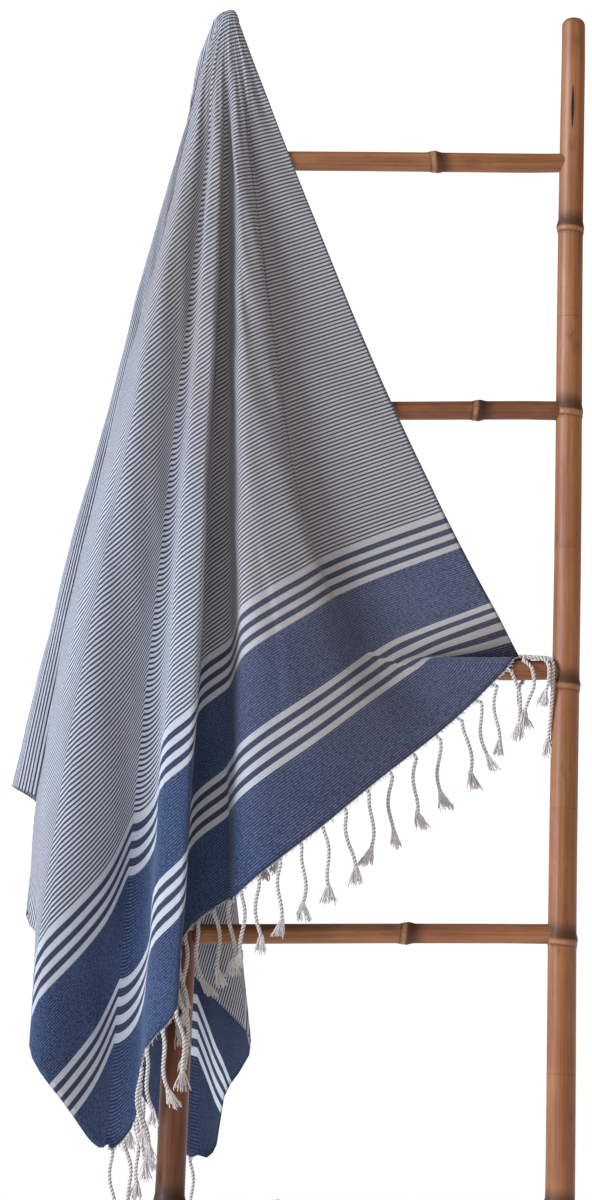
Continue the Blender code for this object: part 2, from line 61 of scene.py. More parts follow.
class Socket:
    """A shader socket: arithmetic on it adds Math nodes, and node() adds any other kind of node."""

    def __init__(self, tree, socket=None):
        self.tree, self.socket = tree, socket

    def node(self, kind, settings=None, inputs=None, output=0):
        made = self.tree.nodes.new(kind)
        for name, value in (settings or {}).items():
            if name == "stops":
                ramp = made.color_ramp.elements
                while len(ramp) < len(value):
                    ramp.new(0.5)
                for stop, (place, colour) in zip(ramp, value):
                    stop.position, stop.color = place, (*colour, 1.0)
            else:
                setattr(made, name, value)
        for name, value in (inputs or {}).items():
            if isinstance(value, Socket):
                self.tree.links.new(value.socket, made.inputs[name])
            else:
                made.inputs[name].default_value = value
        return Socket(self.tree, made.outputs[output])

    def maths(self, operation, *others):
        return self.node("ShaderNodeMath", {"operation": operation}, dict(enumerate((self, *others))))

    def vector_maths(self, operation, *others, output=0):
        inputs = dict(enumerate((self, *others)))
        return self.node("ShaderNodeVectorMath", {"operation": operation}, inputs, output)

    def scaled(self, by):
        return self.node("ShaderNodeVectorMath", {"operation": "SCALE"}, {0: self, "Scale": by})

    def reflected(self, operation, other):
        return self.node("ShaderNodeMath", {"operation": operation}, {0: other, 1: self})

    __add__ = __radd__ = partialmethod(maths, "ADD")
    __mul__ = __rmul__ = partialmethod(maths, "MULTIPLY")
    __sub__, __rsub__ = partialmethod(maths, "SUBTRACT"), partialmethod(reflected, "SUBTRACT")
    __truediv__, __rtruediv__ = partialmethod(maths, "DIVIDE"), partialmethod(reflected, "DIVIDE")
    __abs__ = partialmethod(maths, "ABSOLUTE")

    def step(self, start, end):
        """0 below start and 1 above end, smoothly between them."""
        return self.node("ShaderNodeMapRange", {"interpolation_type": "SMOOTHSTEP"},
                         {"Value": self, "From Min": start, "From Max": end})

    def within(self, rise, fall):
        """1 between two places: it goes up over the first pair of values, and down over the second."""
        return self.step(*rise) * (1 - self.step(*fall))

    def mixed(self, *colours):
        """The first colour where this is 0, the second where it is 1."""
        first, second = (colour if isinstance(colour, Socket) else (*colour, 1.0) for colour in colours)
        return self.node("ShaderNodeMix", {"data_type": "RGBA"}, {0: self, 6: first, 7: second}, output=2)

    def noise(self, stretch, detail=2.0, roughness=0.5):
        """Noise on this vector, with each of its three numbers multiplied first."""
        drawn_out = self.vector_maths("MULTIPLY", stretch)
        return self.node("ShaderNodeTexNoise", None, {"Vector": drawn_out, "Scale": 1.0, "Detail": detail,
                                                      "Roughness": roughness})

    def part(self, k):
        """One of this vector's three numbers."""
        return self.node("ShaderNodeSeparateXYZ", None, {"Vector": self}, output=k)


def new_material(name):
    """A material, its node tree as a Socket, and its Principled shader."""
    made = bpy.data.materials.new(name)
    made.use_nodes = True
    return made, Socket(made.node_tree), made.node_tree.nodes["Principled BSDF"]


def feed(shader, **values):
    """Sets or links a shader's inputs; an underscore in a name stands for a space."""
    for name, value in values.items():
        name = name.replace("_", " ")
        if isinstance(value, Socket):
            value.tree.links.new(value.socket, shader.inputs[name])
        else:
            shader.inputs[name].default_value = value


def bamboo_skin(name, pale, deep, dark, split=None):
    """Varnished bamboo: long grain, blotches, and darker skin with a pale line at each ring. split is a
    crack's place across the cane, the middle of its length, and half its length and width."""
    made, root, shader = new_material(name)
    stem = root.node("ShaderNodeAttribute", {"attribute_name": "stem"}, output=1)
    ring = root.node("ShaderNodeAttribute", {"attribute_name": "ring"}, output=2)
    grain = stem.noise((1100, 1100, 7), 4.0, 0.65)
    streak = stem.noise((210, 210, 2.2), 4.0, 0.6)
    cloud = stem.noise((34, 34, 9), 3.0, 0.6)
    fleck = stem.noise((520, 520, 70)).step(0.68, 0.78)
    stain = stem.noise((55, 55, 22), 4.0, 0.7).step(0.56, 0.72)
    skin = (streak.step(0.34, 0.66) * 0.55 + cloud.step(0.36, 0.64) * 0.45).mixed(pale, deep)
    skin = (grain.step(0.42, 0.72) * 0.4 + fleck * 0.45 + stain * 0.3).mixed(skin, dark)

    # Round each ring, by the distance above it in metres
    ragged = ring + (cloud - 0.5) * 0.006
    # A darker band just above each ring, which is also a little rougher
    dark_above_ring = ragged.within((-0.001, 0.002), (0.007, 0.024))
    below = ragged.within((-0.011, -0.004), (-0.002, 0.0))
    skin = (dark_above_ring * 0.88 + below * 0.3).mixed(skin, dark)
    line = ring.within((-0.0052, -0.0036), (-0.0012, -0.0004))
    skin = (line * (0.15 + streak.step(0.35, 0.6) * 0.35)).mixed(skin, (0.52, 0.27, 0.12))
    under = ring.within((-0.0076, -0.0064), (-0.006, -0.005))
    skin = (under * 0.55).mixed(skin, dark)
    height = grain * 0.4 + streak * 0.7
    if split:
        place, middle, half_l, half_w = split
        inside = 1 - abs(stem.part(2) - middle) / half_l
        ragged = stem.noise((0, 0, 500), 3.0, 0.7) * 1.5
        off = abs(stem.part(0) - place) - inside.maths("MAXIMUM", 0.0).maths("POWER", 0.5) * ragged * half_w
        in_front = 1 - stem.part(1).step(-0.004, 0.0)
        crack = (1 - off.step(-0.0003, 0.0003)) * inside.step(0.0, 0.01) * in_front
        # The split is real, but its near-black fill is painted shade inside it
        skin = crack.mixed(skin, (0.018, 0.01, 0.006))
        height = height - crack * 1.5
    bump = root.node("ShaderNodeBump", None, {"Strength": 0.4, "Distance": 0.0006, "Height": height})
    feed(shader, Base_Color=skin, Roughness=0.36 + cloud * 0.2 + dark_above_ring * 0.15, Normal=bump,
         Coat_Weight=0.06, Coat_Roughness=0.28, Specular_IOR_Level=0.35)
    return made


def lengths(vectors):
    """The length of each vector."""
    return np.linalg.norm(vectors, axis=-1)


def post_point(side, z):
    """Centre of a post at a height."""
    share = z / POST_TOP_Z[side]
    x = POST_FOOT_X[side] + (POST_TOP_X[side] - POST_FOOT_X[side]) * share
    return Vector((x, z * tan(LEAN), z))


def placed(name, data):
    """Puts a mesh, light or camera in the scene as an object."""
    made = bpy.data.objects.new(name, data)
    bpy.context.scene.collection.objects.link(made)
    return made


def stem_mesh(name, start, end, radius_at, rings, shape_ends, finish, seed):
    """A bamboo cane from start to end: rings lists the distances of its joints from start, and shape_ends
    gives the points of its two ends their final places."""
    start, end = np.array(start), np.array(end)
    length = np.linalg.norm(end - start)
    axis = (end - start) / length
    across = np.cross((0.0, 1.0, 0.0), axis)
    across /= np.linalg.norm(across)
    beside = np.cross(axis, across)
    sway = np.random.default_rng(seed).uniform(0, 2 * pi, 6)
    near_rings = [place + RING_HALF * share for place in rings for share in np.linspace(-1, 1, 15)]
    near_top = length - STEM_STEP * np.array((0.15, 0.35, 0.6, 1.0, 1.5))
    alongs = np.concatenate((np.linspace(0, length, round(length / STEM_STEP)), near_rings, near_top))
    alongs = np.unique(alongs[(alongs >= 0) & (alongs <= length)].round(5))
    along, angle = np.meshgrid(alongs, np.linspace(0, 2 * pi, STEM_SIDES, endpoint=False), indexing="ij")
    gap = along[..., None] - np.array(rings)
    gap = np.take_along_axis(gap, np.abs(gap).argmin(axis=-1)[..., None], axis=-1)[..., 0]
    gap = gap + RING_TILT * np.sin(angle + sway[0])
    swell = RING_SWELL * (np.cos(pi * np.minimum(np.abs(gap) / RING_HALF, 1)) + 1) / 2
    swell *= 1 + 0.25 * np.sin(angle + sway[4])
    swell -= GROOVE_DEPTH * np.exp(-((gap + GROOVE_BELOW) / GROOVE_HALF) ** 2)
    whole = np.minimum(np.minimum(along, length - along) / TRUE_END_L, 1)
    oval = CANE_WAVER * whole * np.sin(2 * angle + 3 * along + sway[3])
    out = across * np.cos(angle)[..., None] + beside * np.sin(angle)[..., None]
    drift = across * np.sin(9 * along + sway[1])[..., None] + beside * np.sin(7 * along + sway[2])[..., None]
    points = (start + axis * along[..., None] + drift * (CANE_WAVER * whole)[..., None]
              + out * (radius_at(along) + oval * 0.5 + swell)[..., None])
    points = shape_ends(points, start, axis, length)
    rows = len(alongs)
    grain_from, high = GRAIN_APART * seed, (rows - 1) * STEM_SIDES
    stem = np.stack((np.cos(angle) * RUNG_R, np.sin(angle) * RUNG_R, along + grain_from), axis=-1)
    centres = [points[0].mean(axis=0), points[-1].mean(axis=0)]
    faces = []
    for side in range(STEM_SIDES):
        after = (side + 1) % STEM_SIDES
        faces += [(low + side, low + after, low + after + STEM_SIDES, low + side + STEM_SIDES)
                  for low in range(0, high, STEM_SIDES)]
        faces += [(after, side, rows * STEM_SIDES), (high + side, high + after, rows * STEM_SIDES + 1)]
    mesh = bpy.data.meshes.new(name)
    mesh.from_pydata([*points.reshape(-1, 3), *centres], [], faces)
    stem = np.array([*stem.reshape(-1, 3), (0, 0, grain_from), (0, 0, length + grain_from)])
    mesh.attributes.new("stem", "FLOAT_VECTOR", "POINT").data.foreach_set("vector", stem.ravel())
    mesh.attributes.new("ring", "FLOAT", "POINT").data.foreach_set("value", [*gap.ravel(), 1.0, 1.0])
    mesh.materials.append(finish)
    mesh.shade_smooth()
    return placed(name, mesh)


def post_ends(points, start, axis, length):
    """Rounds the top of a post off, and saws its foot level with the floor."""
    along = (points - start) @ axis
    middle = start + axis * along[..., None]
    away = points - middle
    rise = 1 - np.clip((length - along) / POST_ROUNDING, 0, 1)
    draw_in = POST_ROUNDING * (1 - np.sqrt(1 - rise ** 2)) / lengths(away)
    points = middle + away * (1 - draw_in)[..., None]
    return points - axis * (np.minimum(points[..., 2], 0) / axis[2])[..., None]


POST_COLOURS = {  # pale skin, deep skin, and its darkest marks
    "left": ((0.235, 0.08, 0.028), (0.112, 0.032, 0.01), (0.03, 0.009, 0.003)),
    "right": ((0.4, 0.165, 0.062), (0.25, 0.083, 0.025), (0.07, 0.021, 0.006)),
}
for side, seed in (("left", 3), ("right", 8)):
    top_z = POST_TOP_Z[side]
    foot, top = post_point(side, -BELOW_FLOOR), post_point(side, top_z)
    per_height = (top - foot).length / (top_z + BELOW_FLOOR)
    rings = [(z + BELOW_FLOOR) * per_height for z in POST_RINGS_Z[side]]
    split_at = (SPLIT_Z + BELOW_FLOOR) * per_height + GRAIN_APART * seed
    split = (SPLIT_ACROSS, split_at, SPLIT_HALF_L, SPLIT_HALF_W) if side == "right" else None
    post_skin = bamboo_skin(f"{side}_post_bamboo", *POST_COLOURS[side], split)
    post = stem_mesh(f"{side}_bamboo_post", foot, top,
                     lambda along: POST_R_FOOT + (POST_R_TOP - POST_R_FOOT) * along / per_height / top_z,
                     rings, post_ends, post_skin, seed)
    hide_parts(f"{side}_post")
    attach(post, "root")

# ---- Bamboo rungs ----------------------------------------------
# Thinner canes of the same varnished bamboo. Their ends are coped to the round of the posts and held
# by a peg inside, so no fixing shows.
RUNGS = [  # height of its axis, height of its left end above its right, its joints along X
    (1.306, 0.002, (0.3,)),
    (1.019, 0.0, (0.345,)),
    (0.73, 0.0, (0.18,)),
    (0.447, 0.0, (0.26,)),
    (0.16, 0.001, (0.12,)),
]
SEAT_GAP = 0.0001  # between a rung's coped end and its post
COPE_L = 0.05  # the length of rung that is drawn back by the coping


def rung_ends(height, rise):
    """Where a rung's axis meets the axes of the two posts."""
    return post_point("left", height + rise), post_point("right", height)


def coped_ends(points, start, axis, length):
    """Draws both ends of a rung back to the round of the posts."""
    along = (points - start) @ axis
    off = (points - start - axis * along[..., None]) @ np.array((0.0, cos(LEAN), -sin(LEAN)))
    post_r = POST_R_FOOT + (POST_R_TOP - POST_R_FOOT) * start[2] / POST_TOP_Z["left"] + SEAT_GAP
    room = np.sqrt(post_r ** 2 - off ** 2)
    from_start, from_end = 1 - along / COPE_L, 1 - (length - along) / COPE_L
    return points + axis * (room * np.clip(from_start, 0, 1) - room * np.clip(from_end, 0, 1))[..., None]


pale_rung = bamboo_skin("rung_bamboo", (0.42, 0.172, 0.066), (0.23, 0.079, 0.025), (0.055, 0.018, 0.006))
brown_rung = bamboo_skin("brown_rung_bamboo", (0.27, 0.097, 0.034), (0.145, 0.044, 0.014),
                         (0.04, 0.012, 0.004))
for number, (height, rise, rings_x) in enumerate(RUNGS, 1):
    start, end = rung_ends(height, rise)
    skin = brown_rung if number in (2, 5) else pale_rung
    rung = stem_mesh(f"bamboo_rung_{number}", start, end, lambda along: RUNG_R,
                     [x - start.x for x in rings_x], coped_ends, skin, 20 + number)
    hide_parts(f"rung_{number}")
    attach(rung, "root")

# ---- Towel -----------------------------------------------------
# One piece of cotton woven with coloured weft stripes, between two plain selvedges, and hung from a
# point near the middle of one of them. All of its folds run down from the post's tip.
TOWEL_W, FRONT_L, BACK_L = 0.96, 0.875, 0.895
CLOTH_T = 0.001
GIVE = 1.012  # it hangs on the bias, so it is a little longer than cut
CLEAR = 0.0008  # from the cloth's face to the bamboo
CROWN = Vector((0.0675, 0.2605, 1.488))
CROWN_DROP = 0.0155  # from the crown down to where the folds begin
SHOULDER_R = 0.0175  # of the cloth round the post's tip
SHOULDER = ((0, -45), (61, -119), (96, -142), (112, -178), (180, -261))  # flat direction, way round the tip
DOME_POWER, DOME_SLACK = 1.25, 1.12
TIP_L = 0.08  # of the post's end, where it has no ring
RUNG_DIP, DIP_START, DIP_WAY = 0.035, 0.88, (0.26, 0.85, -0.5)  # the corner's sag behind the third rung
RIDGE_START, RIDGE_SOFT, RIDGE_HALF = 0.875, 0.03, 1.6  # shares and places of the fold along that rung
LATE_LEAN = ((4, 10), (12, 0))  # places near the front selvedge, and how late they lean
LATE_REACH = ((9, 16), (12, 5))  # places, and how late their length changes
COLUMN_STEPS = ((30, 0.25), (45, 0.5), (49.5, 0.3), (60, 0.7), (92, 1), (119, 1.8), (131, 1.1),
                (135, 0.5), (147, 1.2), (181, 2))  # up to a place, the step between columns
SHEET_ROWS, FINER, FINER_POWER = 178, 0.35, 1.8  # the rows are closer together near the tip


def fold_line(flat, side, side_edge, lean, lean_edge, reach=1, onset=1, flat_edge=None):
    """A fold line's values, angles in degrees: "flat" is its direction on the flat towel, from the front
    selvedge; "side" is how far it swings to the right of straight down, and "lean" how far it stands back
    (+) or forward (-). Each has a value at the crown and one at the edge; "onset" is how late it changes
    from the one to the other, and "reach" is the length down to the edge as a share of the flat length."""
    return flat, flat if flat_edge is None else flat_edge, side, side_edge, lean, lean_edge, onset, reach


# One row for each fold line, from selvedge A at the front round to selvedge A at the back
FOLDS = {
    "selvedge A, front": (0, 20, 23.7, -10.6, -8.6, 0.94, 2),
    "flat panel": (6, 14.2, 23.6, -10.6, -8.5, 0.935, 6, 1),
    "ridge on the rung": (12, 9, 23.2, -10.6, -8.9, 0.93, 7, 2),
    "turned-over flap": (14.5, 7.2, 18.1, -11, -9.5, 0.96, 6, 8.6),
    "flap, middle": (18, 6.2, 10.5, -14.4, -12, 0.994, 3, 16.3),
    "fold 1, face": (21.2, 3.2, 5.3, -15.6, -13.2, 1.017, 2, 22),
    "fold 1, shoulder": (22.3, 2.4, 2.2, -15.7, -13.4, 1.023, 2, 25.7),
    "fold 1, edge": (22.8, 1.9, 0.5, -15.2, -12.4, 1.028, 2, 27.8),
    "fold 1, foot": (31, 0.4, 0.3, -10.3, -11.6, 1.015, 2, 29.2),
    "inner panel, end": (33.6, -1.8, -2.5, -10.3, -10.8, 1.005, 2, 34),
    "fold 2, right": (38.3, -1.6, -2.2, -15.4, -14, 1.015, 2, 38.6),
    "fold 2, left": (41, -4.7, -3.9, -14.9, -13.3, 1.015, 2, 41.2),
    "fold 2, foot": (45.7, -4.9, -3.9, -9.8, -10, 1.005, 2, 45.3),
    "front corner": (47.5, -6.5, -5.6, -9.8, -10, 1.007, 2, 47.65),
    "fold 3, ridge": (51, -8, -6.8, -10.9, -10.9, 1, 2, 50.1),
    "fold 3, left": (52.8, -9.8, -8.3, -11.7, -11.7, 1, 2, 51.7),
    "left turn": (55.2, -12.5, -10.6, -12.1, -12.1, 1, 1, 53.9),
    "edge ruffle, in": (57, -13, -9.2, -10.2, -9, 1, 7),
    "edge ruffle, out": (61, -13.9, -9.2, -6.4, -5.2, 1, 7),
    "side face, edge": (65, -14.9, -12.5, -4.8, -3.6, 1, 2),
    "inner layer": (69, -14, -8, -4.7, -5.8),
    "inner turn, near": (73.5, -11, -4.2, -5.2, -6.8),
    "inner turn, far": (77, -12, -2.6, -4, -5.1),
    "outer layer": (82, -16.4, -5.6, -2.9, -4.6),
    "outer face": (87, -16.6, -10.9, -2.1, -3.6, 0.972),
    "left edge": (91, -16.3, -15, -1.6, -2.8, 0.962),
    "back pleat 1, in": (95, -15.8, -12.4, -1.2, -1.5, 0.975, 2),
    "back pleat 1, out": (99, -14.6, -10.9, -3, -3.9),
    "back pleat 2, in": (103, -13, -8.9, -1.2, -1.7),
    "back pleat 2, out": (107, -11.2, -7.2, -3.4, -4.4),
    "back pleat 3, in": (111, -9.4, -5.2, -1.3, -2.2),
    "back pleat 3, out": (115, -7.6, -3.4, -3.6, -5.2),
    "back pleat 4, in": (119, -5.8, -1.6, -1.4, -3),
    "back pleat 4, out": (122.5, -4, 0.6, -3.4, -6),
    "right turn": (125.7, -2.5, 2.35, -1.6, -4.4, 0.998),
    "under layer": (128.3, -2, 1.6, -1.2, -2.8, 0.995),
    "under layer, neck": (130, -2.2, 0.35, -1.1, -2.5, 0.995),
    "under layer, lobe": (131.6, -2.5, 0.45, -1, -2.2, 1.012),
    "back corner": (133, -3, -0.75, -1, -2, 1.02),
    "back face, right": (138, -5.5, -5, -0.9, -1.3, 1.016),
    "back face": (143, -8.5, -8.8, -0.9, -1.1),
    "back turn, near": (147, -10.2, -9.7, -0.9, -1.2),
    "back turn": (149, -10.4, -10.1, -0.7, -0.85),
    "back turn, far": (151, -9.7, -9.6, -0.5, -0.45),
    "last face, left": (156, -5.5, -6.5, -0.5, -0.5),
    "last face": (161, -1.2, -1.5, -0.5, -0.6),
    "last turn, near": (166, 3.2, 3.8, -0.5, -0.8),
    "last turn, far": (169, 3.2, 3.8, -0.1, 0),
    "hanging end": (174, 0, -0.5, 0, 0.1),
    "selvedge A, back": (180, -4.5, -6, 0, 0.1),
}


def smooth_through(places, values, at):
    """A smooth curve through the table's values that never swings past them."""
    gaps = np.diff(places)
    slopes = np.diff(values) / gaps
    tangents = np.zeros(len(places))
    tangents[0], tangents[-1] = slopes[0], slopes[-1]
    for k in range(1, len(places) - 1):
        before, after = slopes[k - 1], slopes[k]
        if before * after > 0:
            near, far = 2 * gaps[k] + gaps[k - 1], gaps[k] + 2 * gaps[k - 1]
            tangents[k] = (near + far) / (near / before + far / after)
    k = np.clip(np.searchsorted(places, at, side="right") - 1, 0, len(gaps) - 1)
    h, t = gaps[k], (at - places[k]) / gaps[k]
    return (values[k] * (2 * t**3 - 3 * t**2 + 1) + values[k + 1] * (3 * t**2 - 2 * t**3)
            + h * (tangents[k] * (t**3 - 2 * t**2 + t) + tangents[k + 1] * (t**3 - t**2)))


# Round the post's tip the cloth is too tight for those folds
TIP = np.array([  # place, side, lean
    (0, 20, -10.5), (15, 10, -12.4), (31, -1, -13.6), (45, -10.5, -13.8), (55, -17, -13.4),
    (61, -20.5, -12), (66, -18.5, -6.5), (74, -13.5, -2.4), (84, -13, -1.5), (95, -16.5, -2),
    (104, -20.5, -2.4), (112, -22.5, -1.8), (120, -20, 0.4), (130, -14, 0.8), (142, -8, 0.5),
    (160, -1, 0.2), (180, -3, 0.1),
])
TIP_ENDS, FOLDS_WHOLE = 0.045, 0.185  # from the crown: the tip's own shape ends, the folds are whole

FOLD_COLUMNS = ("flat", "flat_edge", "side", "side_edge", "lean", "lean_edge", "onset", "reach")
FOLD_TABLE = np.array([fold_line(*row) for row in FOLDS.values()])
FOLD_PLACES = (FOLD_TABLE[:, 0] + FOLD_TABLE[:, 1]) / 2
RIDGE_PLACE, FLAP_END = (FOLD_PLACES[list(FOLDS).index(name)]
                         for name in ("ridge on the rung", "inner panel, end"))


def folds_at(places):
    """The fold table's columns, worked out smoothly at any places across the sheet."""
    return {name: smooth_through(FOLD_PLACES, column, places)
            for name, column in zip(FOLD_COLUMNS, FOLD_TABLE.T)}


def smoothed(share):
    """A share of the way from 0 to 1, made to start and end softly."""
    return share * share * (3 - 2 * share)


def unit(ways):
    """The same ways, each with length 1."""
    return ways / np.linalg.norm(ways, axis=-1, keepdims=True)


def flat_reach(flat):
    """Flat distance from the crown to the towel's edge in a flat direction (radians)."""
    front = FRONT_L / np.maximum(np.cos(flat), 1e-6)
    back = BACK_L / np.maximum(-np.cos(flat), 1e-6)
    across = TOWEL_W / np.maximum(np.sin(flat), 1e-6)
    return np.minimum(np.minimum(front, back), across)


def pushed_clear(points, start, end, radius):
    """Moves the points that are nearer than radius to a stem's axis straight out from it."""
    start, end = np.array(start), np.array(end)
    axis = end - start
    along = ((points - start) @ axis) / (axis @ axis)
    away = points - (start + along[..., None] * axis)
    distance = np.maximum(lengths(away), 1e-9)
    inside = (distance < radius) & (along > 0) & (along < 1)
    push = np.where(inside, radius - distance, 0.0)
    return points + away * (push / distance)[..., None]


def clear_of_ladder(points, spare):
    """Moves points of a soft piece out to spare from the faces of the rungs and posts."""
    for height, rise, rings_x in RUNGS:
        points = pushed_clear(points, *rung_ends(height, rise), RUNG_R + RING_SWELL + spare)
    for side in ("left", "right"):
        foot, below_tip = post_point(side, 0.0), post_point(side, POST_TOP_Z[side] - TIP_L)
        tip = post_point(side, POST_TOP_Z[side] - POST_ROUNDING)
        points = pushed_clear(points, foot, below_tip, (POST_R_TOP + POST_R_FOOT) / 2 + RING_SWELL + spare)
        points = pushed_clear(points, below_tip, tip, POST_R_TOP + spare)
    return points


def flat_angle(places, shares):
    """Direction on the flat towel (radians) of each point, [share][place]."""
    fold = folds_at(places)
    late = shares[:, None] ** fold["onset"][None, :]
    return np.radians(fold["flat"] + (fold["flat_edge"] - fold["flat"]) * late)


def draped(places, shares):
    """Points of the hanging sheet, [share][place], at shares of the way from the crown to the edge."""
    fold = {name: column[None, :] for name, column in folds_at(places).items()}
    share = shares[:, None]
    late = share ** fold["onset"]
    leaning = share ** np.maximum(fold["onset"], np.interp(places, *LATE_LEAN))
    flat = flat_angle(places, shares)
    side = fold["side"] + (fold["side_edge"] - fold["side"]) * late
    lean = fold["lean"] + (fold["lean_edge"] - fold["lean"]) * leaning
    folded = smoothed(np.clip((share * flat_reach(flat) - TIP_ENDS) / (FOLDS_WHOLE - TIP_ENDS), 0, 1))
    tip_side, tip_lean = (smooth_through(TIP[:, 0], TIP[:, k], places)[None, :] for k in (1, 2))
    side = np.radians(tip_side + (side - tip_side) * folded)
    lean = np.radians(tip_lean + (lean - tip_lean) * folded)
    reach_onset = np.interp(places, *LATE_REACH)[None, :]
    length = GIVE * (1 + (fold["reach"] - 1) * share ** reach_onset)

    # Round the post's tip: from the crown down to the shoulder, where the folds begin
    around = np.radians(smooth_through(*np.array(SHOULDER).T, fold["flat"]))
    tip = post_point("left", POST_TOP_Z["left"])
    out_x = tip.x + SHOULDER_R * np.cos(around) - CROWN.x
    out_y = tip.y + SHOULDER_R * np.sin(around) - CROWN.y
    dome_l = DOME_SLACK * np.sqrt(out_x**2 + out_y**2 + CROWN_DROP**2)
    flat_l = share * flat_reach(flat)
    turn = np.clip(flat_l / dome_l, 0, 1) * pi / 2
    outward, downward = np.sin(turn) ** DOME_POWER, 1 - np.cos(turn) ** DOME_POWER
    dome = np.stack(np.broadcast_arrays(CROWN.x + out_x * outward, CROWN.y + out_y * outward,
                                        CROWN.z - CROWN_DROP * downward), axis=-1)

    # Below it each fold line runs straight, or nearly
    way = unit(np.stack(np.broadcast_arrays(np.tan(side), np.tan(lean), -1.0), axis=-1))
    points = dome + (np.maximum(flat_l - dome_l, 0) * length)[..., None] * way

    # The first corner sags behind the third rung
    sagging = np.sqrt(np.clip(1 - places / RIDGE_PLACE, 0, 1))[None, :]
    sagging = RUNG_DIP * sagging * np.sin(pi * np.clip((share - DIP_START) / (1 - DIP_START), 0, 1)) ** 2
    return points + sagging[..., None] * np.array(DIP_WAY)


def over_rung(places, shares, spare):
    """The draped points, with the ridge fold laid on the third rung and all of them clear of the ladder."""
    points = draped(places, shares)
    ridge = draped(np.array([RIDGE_PLACE]), shares)
    start, end = rung_ends(*RUNGS[2][:2])
    clear_r = RUNG_R + RING_SWELL + spare
    lift = np.array((0.0, start.y, start.z + clear_r)) - ridge
    lift[..., 0] = 0.0
    near = np.exp(-((places - RIDGE_PLACE) / RIDGE_HALF) ** 2)
    near = near * np.clip((shares - RIDGE_START) / RIDGE_SOFT, 0, 1)[:, None]
    points = points + lift * near[..., None]

    # Past the ridge the flap hangs in front of the rung
    flap = ((places > RIDGE_PLACE + 0.1) & (places < FLAP_END))[None, :]
    flap = flap & (shares > RIDGE_START - RIDGE_SOFT)[:, None]
    above = np.clip(points[..., 2] - start.z, 0, clear_r)
    front = start.y - np.sqrt(clear_r ** 2 - above ** 2)
    points[..., 1] = np.where(flap, np.minimum(points[..., 1], front), points[..., 1])
    return clear_of_ladder(points, spare)


def sheet_columns():
    """Places across the sheet: every fold line, with even steps between."""
    out = []
    for here, there in zip(FOLD_PLACES[:-1], FOLD_PLACES[1:]):
        step = next(step for end, step in COLUMN_STEPS if here < end)
        out.extend(np.linspace(here, there, max(1, round((there - here) / step)), endpoint=False))
    return np.array(out + [FOLD_PLACES[-1]])


columns, even = sheet_columns(), np.linspace(0, 1, SHEET_ROWS)
shares = FINER * even**FINER_POWER + (1 - FINER) * even
cloth_points = over_rung(columns, shares, CLEAR + CLOTH_T / 2)
cloth_flat = flat_angle(columns, shares)
cloth_reach = shares[:, None] * flat_reach(cloth_flat)
woven = np.stack((cloth_reach * np.sin(cloth_flat), cloth_reach * np.cos(cloth_flat)), axis=-1)

# How far each bend spreads, in places, at a place; near a selvedge it spreads less
STIFFNESS = ((22, 0.9), (25, 0.55), (43, 0.55), (48.5, 1.5), (60, 1.5), (70, 0.9))
EDGE_SHARE, EDGE_LEAST = 0.3, 0.05


def eased(points):
    """Rounds the sheet's sharp bends, as the cloth's own stiffness does; its selvedges stay in place."""
    from_selvedge = np.minimum(columns, columns[-1] - columns)
    width = np.minimum(np.interp(columns, *zip(*STIFFNESS)), EDGE_SHARE * from_selvedge + EDGE_LEAST)
    apart = (columns[None, :] - columns[:, None]) / width[:, None]
    weight = np.exp(-apart ** 2 / 2) * np.gradient(columns)[None, :]
    return np.einsum("kj,rjx->rkx", weight / weight.sum(axis=1, keepdims=True), points)


def beside_crease(line):
    """Each point's distance from a crease on the flat towel, + towards selvedge B, and the way that is."""
    line = np.array(line)
    nearest, ways = np.full(woven.shape[:2], 9.0), np.zeros(woven.shape)
    for start, end in zip(line[:-1], line[1:]):
        way = (end - start) / np.linalg.norm(end - start)
        beside = np.array((way[1], -way[0]))
        gone = np.clip((woven - start) @ way, 0, np.linalg.norm(end - start))
        off = woven - start - gone[..., None] * way
        distance = lengths(off) * np.where(off @ beside < 0, -1, 1)
        closer = np.abs(distance) < np.abs(nearest)
        nearest, ways = np.where(closer, distance, nearest), np.where(closer[..., None], beside, ways)
    return nearest, ways


CREASES = [  # a line on the flat towel (across, along), its height, overlap, half width and its sides' reach
    ([(0.027, 0.096), (0.08, 0.289), (0.134, 0.482), (0.16, 0.578)], 0.0015, 0.0016, 0.0011, 0.01),
    ([(0.172, 0.742), (0.156, 0.762), (0.14, 0.78)], 0.0022, 0.0034, 0.0038, 0.014),
    ([(0.25, 0.6), (0.262, 0.653), (0.278, 0.7), (0.3, 0.74)], 0.001, 0, 0.003, 0.014),
    ([(0.138, 0.799), (0.149, 0.851)], 0.001, 0, 0.003, 0.012),
    ([(0.091, 0.845), (0.125, 0.868)], 0.0008, 0, 0.003, 0.008),
    ([(0.432, 0.294), (0.437, 0.325)], 0.001, 0, 0.0011, 0.006),
    ([(0.453, 0.369), (0.462, 0.38)], 0.001, 0, 0.0011, 0.006),
]
RIPPLES = [  # height, waves for each step of place, waves down the cloth, phase
    (0.001, 0.055, 2.3, 0.4), (0.0007, 0.11, 3.7, 2.1),
    (0.0004, 0.23, 6.1, 4.0), (0.0003, 0.17, 11.0, 1.3),
]
CORNER_ROUND, CORNER_CURL = 0.03, 0.0048  # radii of a lower corner's outline, and of its roll


def slopes(values):
    """How values change down the sheet and across it."""
    return np.gradient(values, axis=0), np.gradient(values, axis=1)


def area(a, b):
    """The signed area between two flat ways."""
    return a[..., 0] * b[..., 1] - a[..., 1] * b[..., 0]


